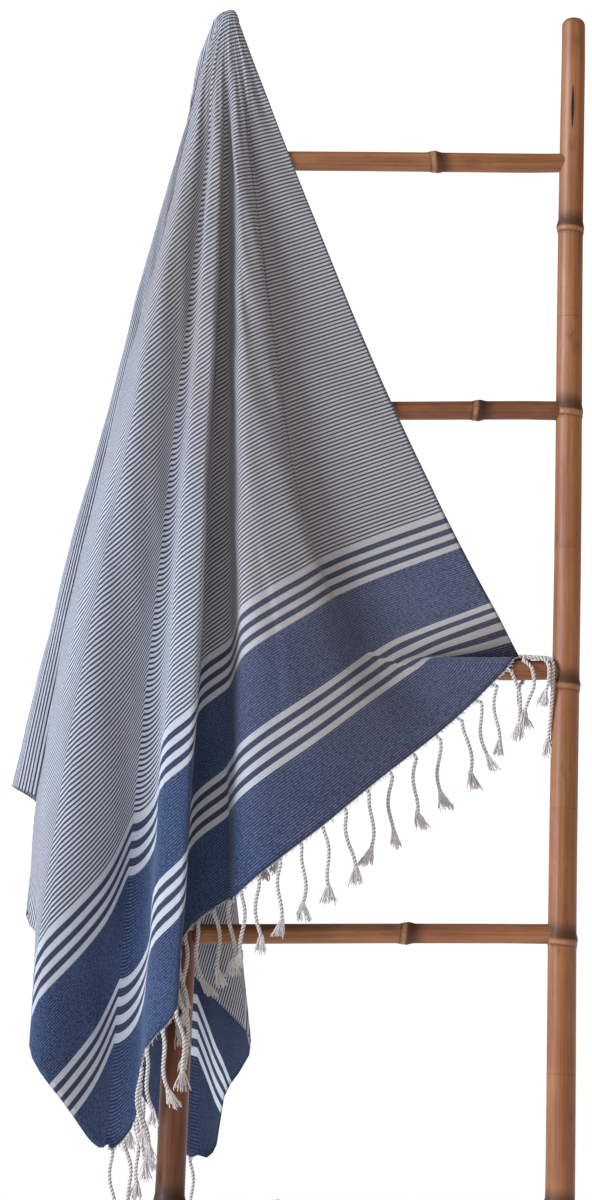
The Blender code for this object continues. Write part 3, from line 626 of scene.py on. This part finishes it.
def raised_and_creased(points):
    """Adds what the fold lines leave out: soft ripples, and the creases pressed into the cloth."""
    down, aside = slopes(points)
    out = np.cross(down, aside)
    out /= np.maximum(np.linalg.norm(out, axis=-1, keepdims=True), 1e-12)
    place, share = columns[None, :], shares[:, None]
    height = sum(tall * np.sin(2 * pi * (along * share + across * place) + phase)
                 for tall, across, along, phase in RIPPLES)
    height = height * np.clip(share / 0.15, 0, 1) * np.clip((1.02 - share) / 0.1, 0.3, 1)
    slip = np.zeros(woven.shape)
    for line, tall, overlap, half, reach in CREASES:
        off, ways = beside_crease(line)
        near = np.tanh(off / half) * np.exp(-np.abs(off) / reach)
        height = height + tall * near
        slip = slip - ways * (overlap * near)[..., None]
    slip = slip * np.clip((shares - 0.03) / 0.03, 0, 1)[:, None, None]

    # The slip is along the cloth, so it is turned into steps down the sheet's rows and across its columns
    flat_down, flat_aside = slopes(woven)
    room = area(flat_down, flat_aside)
    room = np.where(np.abs(room) < 1e-12, 1e-12, room)
    more_down, more_aside = area(slip, flat_aside) / room, area(flat_down, slip) / room
    return points + out * height[..., None] + down * more_down[..., None] + aside * more_aside[..., None]


def corner_curled(points, across, along):
    """Rolls the tip of one of the towel's corners back, which leaves the corner round."""
    toward = np.sign(along)
    centre_flat = np.array((across - CORNER_ROUND, along - CORNER_ROUND * toward))
    nearest = np.unravel_index(lengths(woven - centre_flat).argmin(), woven.shape[:2])
    centre = points[nearest]
    down, aside = slopes(points)
    back = np.cross(aside, down)[nearest]
    back /= np.linalg.norm(back)
    off = woven - centre_flat
    radius = lengths(off)
    in_corner = (off[..., 0] > 0) & (off[..., 1] * toward > 0) & (radius > CORNER_ROUND)
    rolled = np.maximum(radius - CORNER_ROUND, 0) / CORNER_CURL
    turned = np.minimum(rolled, pi / 2)
    shrink = (CORNER_ROUND + CORNER_CURL * np.sin(turned)) / np.maximum(radius, 1e-9)
    behind = CORNER_CURL * (1 - np.cos(turned) + rolled - turned)
    curled = centre + (points - centre) * shrink[..., None] + back * behind[..., None]
    return np.where(in_corner[..., None], curled, points)


cloth_points = eased(cloth_points)
cloth_points = raised_and_creased(cloth_points)
cloth_points = corner_curled(corner_curled(cloth_points, TOWEL_W, FRONT_L), TOWEL_W, -BACK_L)
cloth_points = clear_of_ladder(cloth_points, CLEAR + CLOTH_T / 2)

points = [tuple(cloth_points[0, 0])] + [tuple(p) for p in cloth_points[1:].reshape(-1, 3)]
flats = [(0.0, 0.0)] + [tuple(p) for p in woven[1:].reshape(-1, 2)]
count = len(columns)
faces = [(0, k + 1, k + 2) for k in range(count - 1)]
for row in range(len(shares) - 2):
    base = 1 + row * count
    faces += [(base + k, base + k + count, base + k + count + 1, base + k + 1) for k in range(count - 1)]
mesh = bpy.data.meshes.new("striped_towel")
mesh.from_pydata(points, [], faces)
uv = mesh.uv_layers.new(name="woven")
corners = np.empty(len(mesh.loops), dtype=np.int32)
mesh.loops.foreach_get("vertex_index", corners)
uv.data.foreach_set("uv", np.array(flats)[corners].ravel())
mesh.shade_smooth()
towel = placed("striped_towel", mesh)
thick = towel.modifiers.new("thickness", "SOLIDIFY")
thick.thickness, thick.offset = CLOTH_T, 0.0

# Stripes, measured in from each cut end
END_BLUE, GROUP_1, WIDE_BLUE, GROUP_2 = 0.073, 0.0452, 0.0735, 0.0459
WHITE_1, GAP_1 = 0.0068, 0.006
WHITE_2_WIDE, WHITE_2, GAP_2 = 0.0078, 0.0066, 0.0061
THIN_PERIOD, THIN_WHITE, THIN_SOFT = 0.0042, 0.56, 0.09  # the last two as shares of the period
RIB_PERIOD = 0.0026
EDGE_SOFT = 0.0003
SELVEDGE_W = 0.0022


def woven_cotton():
    """Blue and undyed cotton: the weft stripes, the ribs of the weave and its slubs."""
    made, root, shader = new_material("striped_cotton")
    flat = root.node("ShaderNodeUVMap", {"uv_map": "woven"})
    across, along = flat.part(0), flat.part(1)
    from_end = (FRONT_L - along).maths("MINIMUM", BACK_L + along)
    from_end = from_end + (flat.noise((9, 40, 0)) - 0.5) * 0.0008
    from_end = from_end + (flat.noise((800, 90, 0)) - 0.5) * 0.0005

    def band(start, end):
        return from_end.within((start - EDGE_SOFT, start + EDGE_SOFT), (end - EDGE_SOFT, end + EDGE_SOFT))

    group_2 = END_BLUE + GROUP_1 + WIDE_BLUE
    thin_start = group_2 + GROUP_2
    whites = []
    for place, widths, gap in ((END_BLUE, 4 * [WHITE_1], GAP_1),
                               (group_2, 3 * [WHITE_2] + [WHITE_2_WIDE], GAP_2)):
        for width in widths:
            whites.append(band(place, place + width))
            place += width + gap
    phase = ((from_end - thin_start) / THIN_PERIOD).maths("FRACT")
    thin = phase.within((1 - THIN_WHITE - THIN_SOFT, 1 - THIN_WHITE + THIN_SOFT), (0.93, 1.0))
    thin = thin + (1 - phase.step(0.0, 0.07)) * 0.5
    past_groups = from_end.step(thin_start, thin_start + EDGE_SOFT)
    white = sum(whites[1:], whites[0]) + thin * past_groups

    slub = flat.noise((7, 900, 0), 3.0, 0.6)
    dash = flat.noise((300, 760, 0), 2.0, 0.6)
    fleck = flat.noise((1100, 1100, 0), 2.0, 0.6)
    cloud = flat.noise((16, 16, 0), 3.0, 0.6)
    rib = (from_end * (2 * pi / RIB_PERIOD)).maths("SINE") * 0.5 + 0.5
    raised = rib * (dash.step(0.36, 0.6) * 0.85 + 0.15)
    light_yarn = (raised * 0.85 + slub.step(0.35, 0.7) * 0.1 + fleck.step(0.4, 0.7) * 0.12
                  + cloud.step(0.4, 0.7) * 0.06)
    # Painted light: the blue is lighter and greyer on the front right, and deeper on the left and the back
    # end
    greyer_blue = light_yarn.mixed((0.02, 0.024, 0.048), (0.19, 0.207, 0.305))
    saturated_blue = light_yarn.mixed((0.005, 0.012, 0.036), (0.114, 0.167, 0.31))
    # Painted light mask: 1 on the left and at the back end, painted as in cool light; 0 on the front right,
    # painted as in warm shade
    cool_lit_side = (across.step(0.22, 0.5) + (1 - along.step(-0.2, 0.2))).maths("MINIMUM", 1.0)
    # Painted shade: the blue darkens towards the back end of the towel, which hangs in the shade of the front
    painted_back_shade = 1 - along.step(-0.8, -0.55)
    blue = (painted_back_shade * 0.6).mixed(cool_lit_side.mixed(greyer_blue, saturated_blue), (0.012, 0.014, 0.024))
    # Painted light: the thin dark stripes are darker and bluer where the cloth is painted as in cool light
    dark_thin = cool_lit_side.mixed((0.052, 0.052, 0.07), (0.028, 0.034, 0.06))
    dark_thin = (fleck.step(0.35, 0.7) * 0.4).mixed(dark_thin, (0.115, 0.12, 0.155))
    grouped = band(END_BLUE, END_BLUE + GROUP_1 - GAP_1) + band(group_2, thin_start)
    blue = (grouped * 0.7 + past_groups).mixed(blue, dark_thin)
    undyed = raised * 0.3 + slub.step(0.3, 0.7) * 0.25 + fleck.step(0.3, 0.75) * 0.45
    # Painted light: undyed yarn is darker and warmer on the front right as painted shade, and brighter and
    # bluer elsewhere as painted cool light
    undyed = cool_lit_side.mixed(undyed.mixed((0.385, 0.35, 0.335), (0.58, 0.535, 0.515)),
                          undyed.mixed((0.44, 0.447, 0.475), (0.68, 0.685, 0.71)))
    in_middle = across.within((SELVEDGE_W * 0.6, SELVEDGE_W),
                              (TOWEL_W - SELVEDGE_W, TOWEL_W - SELVEDGE_W * 0.6))
    cloth = ((1 - in_middle) * 0.35).mixed(white.mixed(blue, undyed), (0.035, 0.04, 0.06))
    height = raised * 0.8 + white * 0.35 + slub * 0.25 + fleck * 0.5
    bump = root.node("ShaderNodeBump", None, {"Strength": 0.6, "Distance": 0.0006, "Height": height})
    feed(shader, Base_Color=cloth, Roughness=0.88 + fleck * 0.1, Normal=bump, Sheen_Weight=0.15,
         Sheen_Roughness=0.5, Specular_IOR_Level=0.2)
    return made


mesh.materials.append(woven_cotton())
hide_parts("towel")
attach(towel, "root")

# ---- Tassels ---------------------------------------------------
# The warp ends past each cut edge, left long and twisted by hand into two-ply cords. Past each
# cord's end the yarn opens into a tuft.
CORDS_AT = [0.003, 0.007, 0.011] + [0.026 + 0.0305 * k for k in range(31)]  # along the cut end
CORD_L, TUFT_L = 0.066, 0.018
CORD_STEP = 0.003
PLY_R, PLY_LAY = 0.00122, 0.008  # of one ply, and the length of its turn round the other
CORD_R, CORD_SPARE = 0.0024, 0.0004  # of a cord, and from its face to the bamboo
TURN_L = 0.007  # over which a cord turns from the hem's way to straight down
WAVE = 0.26  # how far a cord strays from straight down
CORD_ROOM = 0.0029  # from a cord's middle to the middle of the cloth
OWN_PLACES, OWN_REACH = 1.5, 0.022  # cloth this near to a cord's own place is its own hem
NEAR = 0.11  # other cloth further off than this isn't looked at
BEHIND_X, BEHIND_SWING = -0.15, 22  # cords left of this swing in behind the front of the towel
STRANDS, STRAND_R, STRAND_BEND = 34, 0.00052, 0.006
FRAY_INSET, FRAY_PITCH, FRAY_R, FRAY_BEND = 0.002, 0.0011, 0.0003, 0.002
CORD_WAYS = [(0, 0), (-8, 0), (8, 0), (0, 8), (0, -8), (-8, 8), (8, 8), (-8, -8), (8, -8), (-16, 0), (16, 0),
             (0, -18), (0, 18), (-16, 12), (-16, -12), (16, 12), (16, -12), (-26, 0)]  # lean, swing (degrees)
OVER_RUNG = [  # the front end's first cords lie over the third rung, through these points
    [(0.399, 0.126, 0.7436), (0.4175, 0.1235, 0.7432), (0.4222, 0.116, 0.7375), (0.4212, 0.112, 0.715),
     (0.42, 0.112, 0.678), (0.4182, 0.112, 0.65)],
    [(0.396, 0.12, 0.744), (0.412, 0.116, 0.7425), (0.4175, 0.112, 0.734), (0.4165, 0.109, 0.718),
     (0.4125, 0.109, 0.706)],
    [(0.39, 0.116, 0.741), (0.3985, 0.112, 0.733), (0.401, 0.111, 0.716), (0.395, 0.111, 0.698),
     (0.39, 0.111, 0.685)],
]


def new_tree(name, sizes):
    """A Geometry Nodes tree, its nodes' root, and its inputs: a geometry and a named input for each size."""
    tree = bpy.data.node_groups.new(name, "GeometryNodeTree")
    tree.interface.new_socket("Geometry", in_out="INPUT", socket_type="NodeSocketGeometry")
    for size, value in sizes.items():
        kind = "NodeSocketInt" if isinstance(value, int) else "NodeSocketFloat"
        tree.interface.new_socket(size, in_out="INPUT", socket_type=kind).default_value = value
    tree.interface.new_socket("Geometry", in_out="OUTPUT", socket_type="NodeSocketGeometry")
    given = tree.nodes.new("NodeGroupInput").outputs
    return tree, Socket(tree), {socket.name: Socket(tree, socket) for socket in given if socket.name}


def close_tree(tree, geometry, finish):
    """Ends a tree with real geometry in one material."""
    geometry = geometry.node("GeometryNodeRealizeInstances", None, {"Geometry": geometry})
    geometry = geometry.node("GeometryNodeSetMaterial", None, {"Geometry": geometry, "Material": finish})
    tree.links.new(geometry.socket, tree.nodes.new("NodeGroupOutput").inputs[0])


def made_by(tree, name, guide, sizes):
    """Runs a tree on a guide mesh and returns the result as a plain object."""
    source = placed(name, guide)
    modifier = source.modifiers.new("make", "NODES")
    modifier.node_group = tree
    for socket in tree.interface.items_tree:
        if socket.in_out == "INPUT" and socket.name in sizes:
            modifier[socket.identifier] = sizes[socket.name]
    mesh = bpy.data.meshes.new_from_object(source.evaluated_get(bpy.context.evaluated_depsgraph_get()))
    bpy.data.objects.remove(source)
    mesh.name = name
    return placed(name, mesh)


def tubes_on(root, lines, sides, radius):
    """Tubes along curves, closed at their ends."""
    ring = root.node("GeometryNodeCurvePrimitiveCircle", None, {"Resolution": sides, "Radius": radius})
    return root.node("GeometryNodeCurveToMesh", None,
                     {"Curve": lines, "Profile Curve": ring, "Fill Caps": True})


def tassel_cotton(name, twisted):
    """Undyed cotton yarn, a little grey where it has been handled, with painted shade between a cord's plies.
    """
    made, root, shader = new_material(name)
    place = root.node("ShaderNodeTexCoord", output=3)
    yarn = place.noise((2600, 2600, 700), 3.0, 0.6)
    cloud = place.noise((90, 90, 90), 2.0, 0.5)
    colour = yarn.step(0.25, 0.7) * 0.7 + cloud.step(0.3, 0.7) * 0.3
    colour = colour.mixed((0.48, 0.42, 0.38), (0.79, 0.73, 0.68))
    if twisted:
        stand_out = root.node("ShaderNodeAttribute", {"attribute_name": "stand_out"}, output=2)
        # Painted shade: the yarn darkens on the inner side of each ply, where it faces the other ply
        colour = stand_out.step(1.0, 1.75).mixed((0.2, 0.165, 0.15), colour)
    bump = root.node("ShaderNodeBump", None, {"Strength": 0.5, "Distance": 0.0003, "Height": yarn})
    feed(shader, Base_Color=colour, Roughness=0.92, Normal=bump, Sheen_Weight=0.2)
    return made


def cord_tree(finish):
    """Each spline of the guide becomes a cord of plies wound round each other."""
    tree, root, given = new_tree("twisted_cord", {"Ply radius": PLY_R, "Lay": PLY_LAY, "Plies": 2})
    lines = root.node("GeometryNodeMeshToCurve", None, {0: given["Geometry"]})
    lines = root.node("GeometryNodeResampleCurve", {"mode": "LENGTH"},
                      {"Curve": lines, "Length": given["Lay"] / 9})
    plies = root.node("GeometryNodeDuplicateElements", {"domain": "SPLINE"},
                      {"Geometry": lines, "Amount": given["Plies"]})
    number = Socket(tree, plies.socket.node.outputs["Duplicate Index"])
    along = root.node("GeometryNodeSplineParameter", output=1)
    angle = (along / given["Lay"] + number / given["Plies"]) * (2 * pi)
    normal, tangent = root.node("GeometryNodeInputNormal"), root.node("GeometryNodeInputTangent")
    beside = tangent.vector_maths("CROSS_PRODUCT", normal)
    off = normal.scaled(angle.maths("COSINE")).vector_maths("ADD", beside.scaled(angle.maths("SINE")))
    off = off.scaled(given["Ply radius"] * 0.92)
    middle = root.node("GeometryNodeInputPosition")
    plies = root.node("GeometryNodeStoreNamedAttribute", {"data_type": "FLOAT_VECTOR"},
                      {"Geometry": plies, "Name": "core", "Value": middle})
    plies = root.node("GeometryNodeSetPosition", None, {"Geometry": plies, "Offset": off})
    tubes = tubes_on(root, plies, 7, given["Ply radius"])
    # How far each point stands out from the cord's core, which places the painted shade between the plies
    core = root.node("GeometryNodeInputNamedAttribute", {"data_type": "FLOAT_VECTOR"}, {"Name": "core"})
    away = middle.vector_maths("DISTANCE", core, output=1)
    tubes = root.node("GeometryNodeStoreNamedAttribute", {"data_type": "FLOAT"},
                      {"Geometry": tubes, "Name": "stand_out", "Value": away / given["Ply radius"]})
    close_tree(tree, tubes, finish)
    return tree


def yarn_tree(finish):
    """Each point of the guide grows one loose yarn along its "way", bent as loose yarn is."""
    tree, root, given = new_tree("loose_yarn", {"Yarn radius": STRAND_R, "Bend": STRAND_BEND})
    way = root.node("GeometryNodeInputNamedAttribute", {"data_type": "FLOAT_VECTOR"}, {"Name": "way"})
    line = root.node("GeometryNodeCurvePrimitiveLine", None, {"End": (0.0, 0.0, 1.0)})
    line = root.node("GeometryNodeResampleCurve", None, {"Curve": line, "Count": 6})
    turn = root.node("FunctionNodeAlignRotationToVector", {"axis": "Z"}, {"Vector": way})
    yarns = root.node("GeometryNodeInstanceOnPoints", None,
                      {"Points": given["Geometry"], "Instance": line, "Rotation": turn,
                       "Scale": way.vector_maths("LENGTH", output=1)})
    yarns = root.node("GeometryNodeRealizeInstances", None, {"Geometry": yarns})
    share, place = root.node("GeometryNodeSplineParameter"), root.node("GeometryNodeInputPosition")
    noise = root.node("ShaderNodeTexNoise", None, {"Vector": place, "Scale": 260.0, "Detail": 1.0}, output=1)
    bend = noise.vector_maths("SUBTRACT", (0.5, 0.5, 0.5)).scaled(share * given["Bend"])
    yarns = root.node("GeometryNodeSetPosition", None, {"Geometry": yarns, "Offset": bend})
    close_tree(tree, tubes_on(root, yarns, 4, given["Yarn radius"]), finish)
    return tree


def hem_line(length):
    """Across the towel: distances from selvedge A, points of a cut end, its way out and its places."""
    edge, before = cloth_points[-1], cloth_points[-2]
    flat = cloth_flat[-1]
    across, along = flat_reach(flat) * np.sin(flat), flat_reach(flat) * np.cos(flat)
    on_end = np.abs(along - length) < 0.002
    way = unit(edge - before)
    order = np.argsort(across[on_end])
    return across[on_end][order], edge[on_end][order], way[on_end][order], columns[on_end][order]


def at_hem(distances, hem):
    """Points, ways out and places of a cut end at distances from selvedge A."""
    across, edge, way, places = hem
    edge, way = (np.stack([np.interp(distances, across, column) for column in values.T], axis=-1)
                 for values in (edge, way))
    return edge, unit(way), np.interp(distances, across, places)


def hanging(start, way, down, phase):
    """A cord's points: out of the hem the hem's way, then down with a slight wave."""
    points = [np.array(start)]
    for k in range(round(CORD_L / CORD_STEP)):
        gone = k * CORD_STEP
        turned = smoothed(np.clip(gone / TURN_L, 0, 1))
        wave = WAVE * np.array((sin(gone * 85 + phase), 0.5 * sin(gone * 80 + 2 * phase), 0.0))
        step = way * (1 - turned) + (down + wave) * turned
        points.append(points[-1] + step / np.linalg.norm(step) * CORD_STEP)
    return np.array(points)


def laid_over(start, route):
    """A cord's points along a smooth line from its start through a route."""
    knots = np.array([start, *route])
    gone = np.concatenate(((0,), np.cumsum(lengths(np.diff(knots, axis=0)))))
    at = np.arange(0, gone[-1], CORD_STEP)
    return np.stack([smooth_through(gone, knots[:, k], at) for k in range(3)], axis=-1)


def cord_path(start, way, place, chance):
    """A cord's points: nearly straight down, or else the first of a few ways that clear the cloth."""
    near = cloth_samples[(np.abs(cloth_samples[:, :3] - start) < NEAR).all(axis=-1)]
    own = lengths(near[:, :3] - start) < OWN_REACH
    near = near[~(own & (np.abs(near[:, 3] - place) < OWN_PLACES)), :3]
    phase, swing_more = chance.uniform(0, 2 * pi), chance.uniform(-2, 9)
    swing_more += BEHIND_SWING if start[0] < BEHIND_X else 0
    best = None
    for tilt, swing in CORD_WAYS:
        down = np.array((tan(radians(swing + swing_more)), tan(radians(tilt)), -1.0))
        path = hanging(start, way, down / np.linalg.norm(down), phase)
        path = clear_of_ladder(path, CORD_R + CORD_SPARE)
        gap = lengths(path[1:, None] - near[None]).min() if len(near) else 1.0
        if gap > CORD_ROOM:
            return path
        if best is None or gap > best[0]:
            best = (gap, path)
    return best[1]


def opened(path, chance):
    """The tuft at a cord's end: where each of its yarns starts, and the way it goes."""
    end = path[-1]
    down = (end - path[-4]) / np.linalg.norm(end - path[-4])
    down = down + (chance.uniform(-0.4, 0.4), chance.uniform(-0.15, 0.15), 0.0)
    turn, spread = chance.uniform(-0.6, 0.6), chance.uniform(0.28, 0.46)
    tips, ways = [], []
    for strand in range(STRANDS):
        angle, out = chance.uniform(0, 2 * pi), chance.uniform(0.0, 1.0) ** 0.5
        x, y, z = np.array((cos(angle), 0.4 * sin(angle), 0.15 * sin(angle))) * out
        side = np.array((x * cos(turn) - y * sin(turn), x * sin(turn) + y * cos(turn), z))
        tips.append(end + side * CORD_R * 0.8 - down * 0.003)
        ways.append((down + side * spread) * TUFT_L * chance.uniform(0.8, 1.2))
    return tips, ways


def loose_yarn(name, points, ways, radius, bend):
    """Loose yarns from points along their ways."""
    guide = bpy.data.meshes.new("loose_yarn_guide")
    guide.from_pydata([tuple(p) for p in points], [], [])
    guide.attributes.new("way", "FLOAT_VECTOR", "POINT").data.foreach_set("vector", np.array(ways).ravel())
    return made_by(yarns, name, guide, {"Yarn radius": radius, "Bend": bend})


cords = cord_tree(tassel_cotton("twisted_cotton", True))
yarns = yarn_tree(tassel_cotton("loose_cotton", False))
samples = cloth_points[SHEET_ROWS // 2::2]
sample_places = np.broadcast_to(columns[None, :, None], samples.shape[:2] + (1,))
cloth_samples = np.concatenate((samples, sample_places), axis=-1).reshape(-1, 4)
for name, length, seed in (("front", FRONT_L, 5), ("back", -BACK_L, 6)):
    chance = np.random.default_rng(seed)
    hem = hem_line(length)
    starts, ways, places = at_hem(np.array(CORDS_AT), hem)
    starts = starts + ways * CORD_R * 0.6
    paths = [cord_path(start, way, place, chance) for start, way, place in zip(starts, ways, places)]
    if name == "front":
        for number, route in enumerate(OVER_RUNG):
            paths[number] = clear_of_ladder(laid_over(starts[number], route), CORD_R)
    guide = bpy.data.meshes.new("cord_guide")
    firsts = np.cumsum([0] + [len(path) for path in paths])
    links = [(k, k + 1) for here, there in zip(firsts[:-1], firsts[1:]) for k in range(here, there - 1)]
    guide.from_pydata([tuple(p) for path in paths for p in path], links, [])
    cord = made_by(cords, f"{name}_cords", guide, {"Ply radius": PLY_R, "Lay": PLY_LAY, "Plies": 2})
    tips, tip_ways = map(np.concatenate, zip(*[opened(path, chance) for path in paths]))
    tuft = loose_yarn(f"{name}_tufts", tips, tip_ways, STRAND_R, STRAND_BEND)
    across = np.arange(FRAY_INSET, TOWEL_W - FRAY_INSET, FRAY_PITCH)
    frays, fray_ways, _ = at_hem(across, hem)
    fray_ways = fray_ways + chance.uniform(-0.8, 0.8, fray_ways.shape)
    fray_ways = fray_ways * chance.uniform(0.001, 0.0034, (len(across), 1))
    fray = loose_yarn(f"{name}_frayed_edge", frays, fray_ways, FRAY_R, FRAY_BEND)
    for piece in (cord, tuft, fray):
        piece.data.shade_smooth()
        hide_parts(f"{name}_fringe")
        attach(piece, "root")

# ---- Stage: floor, light and camera -----------------------
# A wide pale floor, a soft even light with a stronger one from the left, and a camera level with the
# middle of the ladder.
FRAME_H, SENSOR_H, FOCAL_PX = 1200, 36.0, 2364.0  # picture and sensor heights, and the lens in pixels
CAMERA_AT = (0.141, -2.4695, 0.807)
FLOOR_HALF = 60

floor_mesh = bpy.data.meshes.new("studio_floor")
floor_mesh.from_pydata([(x * FLOOR_HALF, y * FLOOR_HALF, 0) for x, y in ((-1, -1), (1, -1), (1, 1), (-1, 1))],
                       [], [(0, 1, 2, 3)])
floor_finish, floor_root, floor_shader = new_material("pale_floor")
away = floor_root.node("ShaderNodeTexCoord", output=3).vector_maths("LENGTH", output=1).step(1.0, 7.0)
feed(floor_shader, Base_Color=away.mixed((0.8, 0.8, 0.8), (0.5, 0.5, 0.5)), Roughness=0.9,
     Emission_Color=away.mixed((0.51, 0.47, 0.43), (0.72, 0.72, 0.72)), Emission_Strength=1.0)
floor_mesh.materials.append(floor_finish)
floor = placed("studio_floor", floor_mesh)

scene = bpy.context.scene
scene.world = bpy.data.worlds.new("studio")
scene.world.use_nodes = True
sky = Socket(scene.world.node_tree)
from_right = sky.node("ShaderNodeTexCoord").part(0).step(-0.8, 0.8)
room = from_right.mixed((0.31, 0.34, 0.4), (0.165, 0.15, 0.148))
seen = sky.node("ShaderNodeLightPath").mixed(room, (1.05, 1.05, 1.05))
feed(sky.tree.nodes["Background"], Color=seen)

for name, way, size, power, colour in (
    ("key_light", (0.86, 0.36, -0.42), radians(26), 3.3, (0.85, 0.96, 1.13)),
    ("fill_light", (-0.1, 0.9, -0.3), radians(90), 0.27, (1.0, 0.93, 0.88)),
):
    light = bpy.data.lights.new(name, "SUN")
    light.angle, light.energy, light.color = size, power, colour
    placed(name, light).rotation_euler = Vector(way).to_track_quat("-Z", "Y").to_euler()

lens = bpy.data.cameras.new("camera")
lens.sensor_fit, lens.sensor_height = "VERTICAL", SENSOR_H
lens.lens = FOCAL_PX / FRAME_H * SENSOR_H
scene.camera = placed("camera", lens)
scene.camera.location, scene.camera.rotation_euler = CAMERA_AT, (radians(90), 0, 0)
scene.view_settings.view_transform = "Standard"
